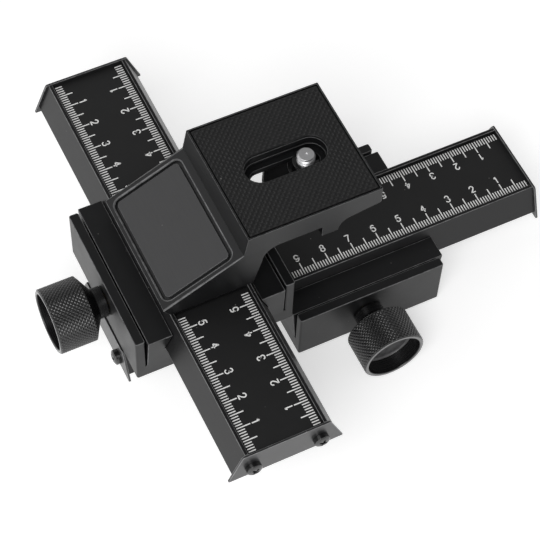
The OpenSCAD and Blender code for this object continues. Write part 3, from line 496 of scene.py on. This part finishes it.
def scale_marks(name, body, face_z, origin, along, places, figure_in, moved):
    """All the white print of one strip. places gives each millimetre's distance from the
    origin along the rail. A tick is a thin bar that starts at the row's outer line and
    runs inward, longer at every fifth. A figure stands figure_in from that line, with its
    right hand its up turned clockwise, and moved shifts some figures to their right."""
    origin, along = np.array(origin, float), np.array(along, float)
    left = np.array([-along[1], along[0]])
    low, high = face_z, face_z + ink
    numbers = np.array(sorted(places))
    spots = np.array([places[n] for n in numbers])
    start, end = spots - tick_width / 2, spots + tick_width / 2
    half = np.array([figure_wide - figure_stroke, figure_tall - figure_stroke]) / 2
    sheets = []
    for outer, side in ((-row_line, 1), (row_line, -1)):
        outer_line = np.full(len(spots), outer)
        inner = outer + side * np.where(numbers % 5 == 0, tick_long, tick_short)
        run = np.stack([start, end, end, start, start], axis=1)[..., None] * along
        across = np.stack([outer_line, outer_line, inner, inner, outer_line], axis=1)
        ring = origin + run + across[..., None] * left
        centre = np.repeat(ring[:, :4].mean(axis=1, keepdims=True), 5, axis=1)
        flat = np.stack([centre, ring, ring, centre], axis=1)
        level = np.array([low, low, high, high])[:, None, None]
        sheets.extend(np.concatenate(
            [flat, np.broadcast_to(level, (*flat.shape[:3], 1))], axis=-1))
        up = left * side
        right = np.array([up[1], -up[0]])
        for n in numbers[numbers % 10 == 0]:
            digit = n // 10
            middle = (origin + along * places[n] + left * (outer + side * figure_in)
                      + right * moved.get(digit, 0.0))
            for count, line in enumerate(figures[digit]):
                stroke = [middle + right * x * half[0] + up * y * half[1] for x, y in line]
                sheets.append(ribbon(stroke, figure_stroke, low, high + 0.002 * count))
    surface(name, sheets, print_white, body)


for name in ("lower_scale", "upper_scale_near", "upper_scale_far"):
    eased_copy(name, print_black, 0.08, strips=1)
scale_marks("lower_scale_marks", "lower_table", 24.0, (0.0, 0.0), (1.0, 0.0),
            {n: 71.8 - n for n in range(1, 95)}, 7.05, {})
for name, side in (("near", -1), ("far", 1)):
    scale_marks(f"upper_scale_{name}_marks", "upper_table", 49.4, (-59.3, 0.4), (0.0, 1.0),
                {n: side * (79.5 - n) for n in range(1, 55)}, 6.85, {4: -0.45})


# ------------------------------------------------------------------ End plates and their screws
# Stamped aluminium plates close both ends of each rail and stop the carriage. Two black
# cross head screws hold each of them, and their heads stand on the plate's face.
# The plates' eased edges are painted lighter, partly as wear and partly as painted glints.
plate_black = finish("end_plate", (0.012, 0.012, 0.0128), 0.36, [
    (skin, {"Grain": 0.3, "Depth": 0.003, "Shade": 0.2, "Gloss": 0.1}),
    (edge_wear_and_highlight, {"Bare": (0.35, 0.35, 0.355, 1.0), "Amount": 0.8, "Bare_Roughness": 0.3}),
    (dust, {"Speck": 0.3, "Amount": 0.3})], ior=1.75)
for name in ("lower_end_plate_left", "lower_end_plate_right",
             "upper_end_plate_near", "upper_end_plate_far"):
    eased_copy(name, plate_black, 0.12)

# Eased edges of the screws given this finish are painted lighter, partly as wear and partly as
# painted glints.
screw_black = finish("black_screw", (0.008, 0.008, 0.0083), 0.16, [
    (skin, {"Grain": 0.25, "Depth": 0.002, "Shade": 0.25, "Gloss": 0.12}),
    (edge_wear_and_highlight, {"Bare": (0.12, 0.12, 0.12, 1.0), "Amount": 0.5, "Bare_Roughness": 0.3})],
    ior=1.8)


def cross_screw(head_at, outward, turned_by):
    """Pan head screw with a cross recess. The height over the seat is that of a flat
    dome, 1 less its radius share to the fourth, less the recess: the greater of two arms,
    each a product of two ramps across and along the arm."""
    head_r, head_h, shank_r, shank_l = 2.7, 2.3, 1.5, 8.7
    arm_w, arm_l, recess_depth, side_ramp, end_ramp = 0.87, 3.0, 1.0, 0.14, 0.5
    dome_r, dome_fall, columns = 2.62, 0.3, 97
    radius = np.concatenate([np.linspace(0, 1.75, 30), np.linspace(1.85, dome_r, 9)])[:, None]
    turn = np.linspace(0, 2 * math.pi, columns)[None, :]
    x, y = radius * np.cos(turn + turned_by), radius * np.sin(turn + turned_by)

    def arm(across, along):
        """Share of the recess's depth, from 1 in the arm to 0 past its sides and end."""
        return (np.clip((arm_w / 2 - np.abs(across)) / side_ramp, 0, 1)
                * np.clip((arm_l / 2 - np.abs(along)) / end_ramp, 0, 1))

    dome = head_h * (1 - dome_fall * (radius / head_r) ** 4)
    height = dome - recess_depth * np.maximum(arm(x, y), arm(y, x))
    side = rounded([(head_h * 0.733, dome_r), (head_h * 0.7, head_r), (0.0, head_r),
                    (0.0, shank_r), (-shank_l, shank_r), (-shank_l, 0.0)], 0.12)
    outward = np.array(outward, float)
    first = np.array([0.0, 0.0, 1.0])
    second = np.cross(outward, first)
    radius = np.concatenate([np.broadcast_to(radius, height.shape),
                             np.repeat(side[:, 1:], columns, 1)])
    height = np.concatenate([height, np.repeat(side[:, :1], columns, 1)])
    return (np.array(head_at, float) + height[..., None] * outward
            + (radius * np.cos(turn))[..., None] * first
            + (radius * np.sin(turn))[..., None] * second)


screw_turns = (0.79, 0.44, 1.13, 0.62)
lower_heads = [((x, y, 17.6), (math.copysign(1, x), 0.0, 0.0))
               for x in (-88.5, 72.5) for y in (-11.9, 11.9)]
upper_heads = [((-59.3 + x, y, 43.0), (0.0, math.copysign(1, y), 0.0))
               for y in (-80.1, 80.9) for x in (-11.9, 11.9)]
for stage, heads in (("lower", lower_heads), ("upper", upper_heads)):
    surface(stage + "_end_screws_piece",
            [cross_screw(at, out, turn) for (at, out), turn in zip(heads, screw_turns)],
            screw_black, stage + "_table", (stage + "_end_screws",), crease=30)


# ------------------------------------------------------------------ Knobs
# Two turned aluminium knobs with a hollow outer end, one on each pinion's shaft. The rim is
# knurled with crossed helices that leave small diamonds, the floor of the hollow is painted
# lighter as painted light falling into it, and a glossy black ring is cut on the end.
def knurl(r_full, count, axial_pitch, deep, start, end):
    """Radius of a knurled rim. Two helices of each hand cross, and a diamond's height is
    the lesser of their triangle waves. The rim is the full radius less the depth where
    that height falls short, and a bevel cuts it where the outline is lower. A steepness
    over 1 leaves the diamonds flat on top, and only the outline's outer band is cut."""
    steepness, band = 1.3, 1.2

    def cut(along, turn, radius):
        """Radius at a distance along the axis and a turn, from the outline's radius."""
        u = (count * turn / (2 * math.pi) + along / axial_pitch) % 1.0
        v = (count * turn / (2 * math.pi) - along / axial_pitch) % 1.0
        height = np.minimum(1 - np.abs(2 * u - 1), 1 - np.abs(2 * v - 1))
        knurled = r_full - deep * (1 - np.minimum(1, steepness * height))
        inside = (along >= start) & (along <= end)
        return np.where(inside & (radius > r_full - band), np.minimum(radius, knurled), radius)
    return cut


knob_r, knurl_start, knurl_end = 11.5, 6.85, 19.6
cup_r, cup_floor = 9.9, 13.7
rim = np.stack([np.linspace(knurl_start, knurl_end, 100), np.full(100, knob_r)], axis=1)
inner_end = rounded([(9.2, 0.0), (9.2, 2.53), (0.0, 2.53), (0.0, 5.4), (3.3, 5.4),
                     (6.75, 11.35)], 0.25)
outer_end = rounded([(knurl_end, knob_r), (knurl_end, 11.3), (19.95, 10.95), (19.95, 10.05),
                     (19.7, cup_r), (16.0, cup_r)], 0.2)
cup = rounded([(16.0, cup_r), (cup_floor, cup_r), (cup_floor, 0.0)], 1.6, 8)
knob_outline = np.concatenate([inner_end, rim, outer_end[1:], cup[1:]])
ring_outline = rounded([(19.9, 10.1), (20.0, 10.2), (20.0, 10.95), (19.9, 11.05),
                        (19.9, 10.1)], 0.04)
for stage, body, origin, axis in (
        ("lower", "lower_drive", (-1.3, -29.1, 11.7), (0.0, -1.0, 0.0)),
        ("upper", "upper_drive", (-88.4, -0.9, 37.1), (-1.0, 0.0, 0.0))):
    centre = tuple(v * mm for v in origin)
    knob_black = finish(stage + "_knob_black", (0.005, 0.005, 0.0054), 0.26, [
        (turning, {"Centre": centre, "Axis": axis, "Pitch": 0.22, "Groove": 0.0015}),
        (skin, {"Grain": 0.3, "Depth": 0.001, "Shade": 0.15, "Gloss": 0.06}),
        (edge_wear_and_highlight, {"Bare": (0.09, 0.09, 0.092, 1.0), "Amount": 1.0, "Bare_Roughness": 0.5}),
        (dust, {"Speck": 0.3, "Amount": 0.3})], ior=1.6)
    ring_black = finish(stage + "_knob_ring_black", (0.03, 0.03, 0.031), 0.2, [
        (turning, {"Centre": centre, "Axis": axis, "Pitch": 0.15, "Groove": 0.001}),
        (skin, {"Grain": 0.3, "Depth": 0.0005, "Shade": 0.1, "Gloss": 0.05})], ior=2.4)

    def on_cup_floor(middles, origin=np.array(origin), axis=np.array(axis)):
        """Whether points lie on the hollow's floor, by their ways along and off the axis."""
        along = (middles - origin) @ axis
        away = np.linalg.norm(middles - origin - along[:, None] * axis, axis=1)
        return (along > cup_floor - 0.1) & (along < cup_floor + 1.8) & (away < cup_r - 0.1)

    knurled = knurl(knob_r, 48, 1.43, 0.25, knurl_start, knurl_end)
    # The hollow's floor carries the attribute edge, so it is painted lighter: painted light
    # falling into the hollow.
    surface(stage + "_knob_piece", [turned(knob_outline, 576, origin, axis, knurled)],
            knob_black, body, (stage + "_knob",), crease=40, marked=on_cup_floor)
    surface(stage + "_knob_ring", [turned(ring_outline, 144, origin, axis)], ring_black, body,
            crease=40)
    eased_copy(stage + "_knob_grub", small_steel, 0.06, strips=1)


# ------------------------------------------------------------------ Camera bracket
# One black casting that straddles the upper rail: a sloped cover, a riser, and a platform
# with a slot for the camera screw, carried by a leg and a lug over the lower rail.
slope_low_x, slope_low_z = -76.2, 54.7
slope_run, slope_rise = 28.7, 13.9


def on_slope(point):
    """Whether a point of the bracket lies on the plane of the sloped cover, where the edges
    of the outline and of the recess for the panel are rounder."""
    return abs((point.z - slope_low_z) * slope_run - (point.x - slope_low_x) * slope_rise) < 0.5


eased_copy("camera_bracket", black_coat, 0.1, strips=3, wide_rim=0.55,
           wide_where=on_slope)
for name in ("bracket_screws", "carriage_screws"):
    eased_copy(name, screw_black, 0.1, strips=1)


# ------------------------------------------------------------------ Cover panel
# A thin aluminium plate, finely drawn and stained satin grey-black, which is glued into the
# recess of the sloped cover. Its colour is lighter than the casting's, partly for the stain and
# partly as painted light for the sheen the slope catches from high behind the left. Its eased
# edges are painted lighter, partly as wear and partly as a painted highlight.
panel_grey_and_painted_sheen = finish("cover_panel", (0.038, 0.038, 0.0392), 0.42, [
    (drawn, {"Along": (1.0, 0.02, 1.0), "Line": 0.25, "Groove": 0.0015}),
    (skin, {"Grain": 0.3, "Depth": 0.002, "Shade": 0.12, "Gloss": 0.08}),
    (edge_wear_and_highlight, {"Bare": (0.16, 0.16, 0.165, 1.0), "Amount": 0.5, "Bare_Roughness": 0.3}),
    (dust, {"Speck": 0.35, "Amount": 0.2})])
eased_copy("cover_panel", panel_grey_and_painted_sheen, 0.15)


# ------------------------------------------------------------------ Platform pad
# A moulded rubber sheet glued on the platform, so that the camera doesn't slip. Its top is
# covered with small round dimples, and a long hole lets the camera screw through.
pad_rubber = finish("pad_rubber", (0.006, 0.006, 0.0063), 0.42, [
    (skin, {"Grain": 0.25, "Depth": 0.006, "Shade": 0.3, "Gloss": 0.12}),
    (dust, {"Speck": 0.35, "Amount": 0.5})])
pad_low, pad_high, pad_corner = np.array([-45.0, -21.9]), np.array([1.0, 23.5]), 0.5
pad_bottom, pad_top, edge_drop, edge_round = 76.2, 77.2, 0.12, 0.15
dimple_depth, dimple_pitch, dimple_fade = 0.24, 1 / 0.47, 0.5
dimple_land, dimple_ramp, dimple_power = 0.05, 0.75, 1.2
slot_ends, slot_r, slot_y = np.array([-30.4, -12.2]), 5.7, 0.8


def pad_outline(count):
    """Points evenly placed along the pad's outer edge, a box with rounded corners."""
    centre, half = (pad_low + pad_high) / 2, (pad_high - pad_low) / 2 - pad_corner
    corner = []
    for n, (sx, sy) in enumerate(((1, 1), (-1, 1), (-1, -1), (1, -1))):
        t = np.radians(90 * n + np.linspace(0, 90, 7))
        corner.append(np.stack([centre[0] + sx * half[0] + pad_corner * np.cos(t),
                                centre[1] + sy * half[1] + pad_corner * np.sin(t)], axis=1))
    path = np.concatenate(corner + [corner[0][:1]])
    run = np.concatenate([[0], np.cumsum(np.linalg.norm(np.diff(path, axis=0), axis=1))])
    at = np.linspace(0, run[-1], count + 1)
    return np.stack([np.interp(at, run, path[:, n]) for n in (0, 1)], axis=1)


def pad_sheet():
    """The pad as one closed ring of strips. A point of the top lies on the way from the
    hole's edge to the outer edge. Its height is the top less a dimple, which is deepest
    where the two slanted cosines of a square lattice turned by 45 degrees both peak. The
    dimples fade out near both edges, which are a little rounded."""
    outer = pad_outline(820)
    anchor = np.stack([np.clip(outer[:, 0], *slot_ends), np.full(len(outer), slot_y)], axis=1)
    way = outer - anchor
    way /= np.linalg.norm(way, axis=1)[:, None]
    inner = anchor + slot_r * way
    share = np.concatenate([[0.0, 0.004], np.linspace(0.012, 0.988, 86), [0.996, 1.0]])
    flat = inner[None] + share[:, None, None] * (outer - inner)[None]
    turns = 2 * math.pi / dimple_pitch
    lattice = (np.cos(turns * (flat[..., 0] + flat[..., 1]))
               + np.cos(turns * (flat[..., 0] - flat[..., 1]))) / 2
    from_edge = np.minimum(share, 1 - share)[:, None] * np.linalg.norm(outer - inner, axis=1)
    dimples = (np.clip((lattice - dimple_land) / dimple_ramp, 0, 1) ** dimple_power
               * np.clip(from_edge / dimple_fade, 0, 1))
    rounding = edge_drop * np.clip(1 - from_edge / edge_round, 0, 1) ** 2
    level = pad_top - dimple_depth * dimples - rounding
    top = np.concatenate([flat, level[..., None]], axis=2)
    inner_foot, outer_foot = (np.column_stack([ring, np.full(len(ring), pad_bottom)])[None]
                              for ring in (inner, outer))
    return np.concatenate([inner_foot, top, outer_foot, inner_foot])


surface("platform_pad_piece", [pad_sheet()], pad_rubber, "upper_table",
        ("platform_pad",), crease=50)


# ------------------------------------------------------------------ Camera screw
# A chromed steel stud, a quarter inch with twenty threads to the inch, pressed into a
# knurled aluminium thumb wheel. A washer runs under the platform, and a black spring clip
# in the stud's groove hangs the screw on the slot's ledge.
upright, screw_at = (0.0, 0.0, 1.0), (-13.8, 0.8, 0.0)
screw_centre = tuple(v * mm for v in screw_at)
chrome = finish("camera_screw_steel", (0.74, 0.74, 0.75), 0.45, [
    (turning, {"Centre": screw_centre, "Pitch": 0.2, "Groove": 0.001}),
    (skin, {"Grain": 0.4, "Depth": 0.0005, "Shade": 0.1, "Gloss": 0.06})], metallic=1.0)
wheel_black = finish("thumb_wheel_black", (0.014, 0.014, 0.0148), 0.32, [
    (turning, {"Centre": screw_centre, "Pitch": 0.22, "Groove": 0.0015}),
    (skin, {"Grain": 0.3, "Depth": 0.001, "Shade": 0.15, "Gloss": 0.06}),
    (dust, {"Speck": 0.3, "Amount": 0.3})], ior=1.9)
stud_r, groove_r, groove_top, thread_top = 3.175, 2.6, 72.05, 74.8
thread_pitch, thread_depth, thread_steepness, thread_crest = 1.27, 0.62, 1.25, 0.12
thread_start, thread_runout = 72.3, 0.5
wheel_r, wheel_low, stud_low, stud_top = 14.2, 57.1, 62.9, 75.4
wheel_rim_low, wheel_rim_high = 57.7, 61.6


def stud_thread(z, turn, radius):
    """Radius of the stud: it falls by the thread's depth times a triangle wave of height
    over pitch less turn over a full turn, from the groove's upper side to the chamfer.
    The wave is cut off flat at the crest and grows over the runout."""
    phase = (z / thread_pitch - turn / (2 * math.pi)) % 1.0
    cut = np.clip(np.abs(2 * phase - 1) * thread_steepness - thread_crest, 0, 1)
    fade = np.clip((z - thread_start) / thread_runout, 0, 1)
    threaded = (radius > groove_r + 0.02) & (z > groove_top + 0.05)
    return np.where(threaded, np.minimum(radius, stud_r - thread_depth * cut * fade), radius)


rows = np.linspace(groove_top + 0.15, thread_top, 46)
stud_outline = np.concatenate([
    [(stud_low, 0.0)],
    rounded([(stud_low, 3.0), (63.0, stud_r), (71.45, stud_r), (71.45, groove_r),
             (groove_top, groove_r), (groove_top, stud_r)], 0.08),
    np.stack([rows, np.full(rows.size, stud_r)], axis=1),
    rounded([(thread_top, stud_r), (stud_top, 2.575), (stud_top, 0.5), (75.22, 0.28),
             (75.15, 0.0)], 0.1)])
surface("camera_screw_stud", [turned(stud_outline, 72, screw_at, upright, stud_thread)],
        chrome, "camera_screw", ("camera_screw",), crease=35)

wheel_outline = np.concatenate([
    rounded([(57.8, 0.0), (57.8, 9.4), (wheel_low, 10.2), (wheel_low, 13.6),
             (wheel_rim_low, wheel_r)], 0.2)[:-1],
    np.stack([np.linspace(wheel_rim_low, wheel_rim_high, 34), np.full(34, wheel_r)], axis=1),
    rounded([(wheel_rim_high, wheel_r), (62.2, 13.6), (62.2, 5.1), (stud_low, 5.1),
             (stud_low, 0.0)], 0.15)[1:]])
knurled = knurl(wheel_r, 66, 1.3, 0.25, wheel_rim_low - 0.1, wheel_rim_high + 0.1)
surface("camera_screw_wheel", [turned(wheel_outline, 528, screw_at, upright, knurled)],
        wheel_black, "camera_screw", ("camera_screw",), crease=40)
eased_copy("screw_washer", screw_black, 0.12)
eased_copy("screw_clip", screw_black, 0.08, strips=1)


# ------------------------------------------------------------------ Floor, light and camera
# White sweep in a tent of light, as for a catalogue picture. The tent is bright round the
# sides, dimmer overhead and brightest high up behind the left end, and one large soft lamp
# hangs to the left in front.
floor_reach, floor_z = 6.0, -0.0002
floor_mesh = bpy.data.meshes.new("floor")
floor_mesh.from_pydata([(x * floor_reach, y * floor_reach, floor_z)
                        for x, y in ((-1, -1), (1, -1), (1, 1), (-1, 1))],
                       [], [(0, 1, 2, 3)])
floor = bpy.data.objects.new("floor", floor_mesh)
bpy.context.scene.collection.objects.link(floor)
paper = bpy.data.materials.new("floor_paper")
paper.use_nodes = True
tree = paper.node_tree
shader = tree.nodes["Principled BSDF"]
shader.inputs["Base Color"].default_value = (0.8, 0.8, 0.8, 1.0)
shader.inputs["Roughness"].default_value = 0.9
shader.inputs["Specular IOR Level"].default_value = 0.0
rays = add(tree, "LightPath").outputs
seen = calc(tree, "MAXIMUM", rays["Is Camera Ray"],
            calc(tree, "MAXIMUM", rays["Is Glossy Ray"], rays["Is Transmission Ray"]))
paper_glow = 0.5
tree.links.new(calc(tree, "MULTIPLY", seen, paper_glow), shader.inputs["Emission Strength"])
shader.inputs["Emission Color"].default_value = (1.0, 1.0, 1.0, 1.0)
floor_mesh.materials.append(paper)

tent_sides, tent_top, tent_patch = 0.85, 0.15, 0.55
patch_way = (-0.56, 0.56, 0.61)
world = bpy.data.worlds.new("tent")
bpy.context.scene.world = world
world.use_nodes = True
tree = world.node_tree
ground = tree.nodes["Background"]
way = add(tree, "TexCoord").outputs["Generated"]
height = add(tree, "SeparateXYZ", Vector=way).outputs["Z"]
towards_patch = add(tree, "VectorMath", {"operation": "DOT_PRODUCT"}, i0=way,
                    i1=patch_way).outputs["Value"]
tent = calc(tree, "ADD", ramp(tree, height, 0.3, 0.75, tent_sides, tent_top),
            ramp(tree, towards_patch, 0.75, 0.98, 0.0, tent_patch))
white_behind = add(tree, "LightPath").outputs["Is Camera Ray"]
tree.links.new(calc(tree, "MAXIMUM", tent, white_behind), ground.inputs["Strength"])
ground.inputs["Color"].default_value = (1.0, 1.0, 1.0, 1.0)

key = bpy.data.lights.new("key", "AREA")
key.shape, key.size, key.energy = "DISK", 0.9, 11.0
key_object = bpy.data.objects.new("key", key)
key_object.location = (-0.7, -0.75, 1.1)
key_object.rotation_euler = (-key_object.location).to_track_quat("-Z", "Y").to_euler()
bpy.context.scene.collection.objects.link(key_object)

# The camera's lens, way and place were solved from the marks of both scales in the photo
camera = bpy.data.cameras.new("camera")
camera.sensor_width, camera.lens = 36.0, 126.87
camera.shift_x, camera.shift_y = -0.0556, 0.0556
camera.clip_start, camera.clip_end = 0.01, 20.0
view_right = (0.8954651, -0.443218, 0.0412311)
view_down = (-0.3586082, -0.7731805, -0.5230602)
view_ahead = (0.2637088, 0.4535964, -0.8512978)
placed = Matrix((view_right, [-v for v in view_down], [-v for v in view_ahead])).transposed()
camera_object = bpy.data.objects.new("camera", camera)
camera_object.matrix_world = (
    Matrix.Translation((-0.197096, -0.317917, 0.580728)) @ placed.to_4x4())
bpy.context.scene.collection.objects.link(camera_object)
bpy.context.scene.camera = camera_object
bpy.context.scene.view_settings.view_transform = "Standard"
